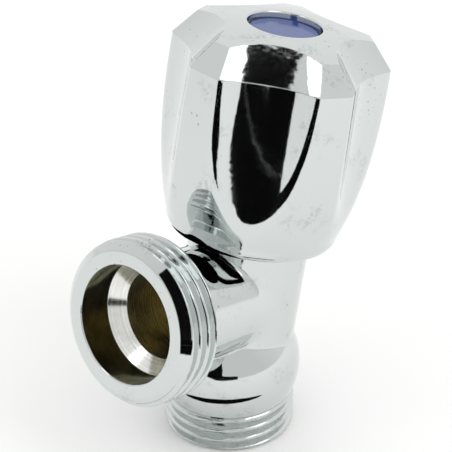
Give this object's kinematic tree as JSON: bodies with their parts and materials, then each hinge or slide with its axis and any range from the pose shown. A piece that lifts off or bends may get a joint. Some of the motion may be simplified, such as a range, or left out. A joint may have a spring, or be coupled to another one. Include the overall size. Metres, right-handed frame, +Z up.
{
  "type": "washing machine valve",
  "caption": "Chromed angle valve for a washing machine hose: male inlet below, larger male hose outlet at the side, and a lobed knob with a blue cap that lifts a rubber disc off its seat.",
  "frame": {"origin": "centre of the inlet's end face", "axes": "+Z up along the inlet, -Y to the side of the hose outlet; the knob's axis leans 12.5 degrees from +Z towards +Y"},
  "size_m": [0.0346, 0.0524, 0.0693],
  "materials": {
    "chrome_body": "brass casting, turned, polished and chrome plated",
    "chrome_knob": "moulded plastic, chrome plated, bright",
    "turned_brass": "bare brass, turned",
    "black_rubber": "moulded nitrile rubber, matt",
    "gasket_fibre": "pressed fibre, matt",
    "white_plastic": "moulded acetal, satin",
    "spring_steel": "zinc plated steel, satin",
    "blue_plastic": "moulded blue plastic, glossy"
  },
  "bodies": {
    "valve": {"valve_body": "chrome_body", "bonnet": "turned_brass", "bonnet_gasket": "gasket_fibre"},
    "knob": {"knob_shell": "chrome_knob", "spline_adapter": "white_plastic", "knob_screw": "spring_steel", "index_cap": "blue_plastic", "spindle": "turned_brass", "spindle_o_ring_lower": "black_rubber", "spindle_o_ring_upper": "black_rubber", "thrust_washer": "white_plastic", "spindle_circlip": "spring_steel"},
    "plunger": {"plunger": "turned_brass", "seat_washer": "black_rubber", "washer_screw": "turned_brass"}
  },
  "joints": [
    {"name": "knob_turn", "type": "hinge", "parent": "valve", "child": "knob", "pos_m": [0, 0, 0.0115], "axis": [0, 0.2164, 0.9763], "range_deg": [0, 900]},
    {"name": "plunger_lift", "type": "slide", "parent": "valve", "child": "plunger", "axis": [0, 0.2164, 0.9763], "range_m": [0, 0.005]}
  ],
  "couplings": [
    {"joint": "plunger_lift", "follows": "knob_turn", "m_per_rad": 0.0003183}
  ]
}
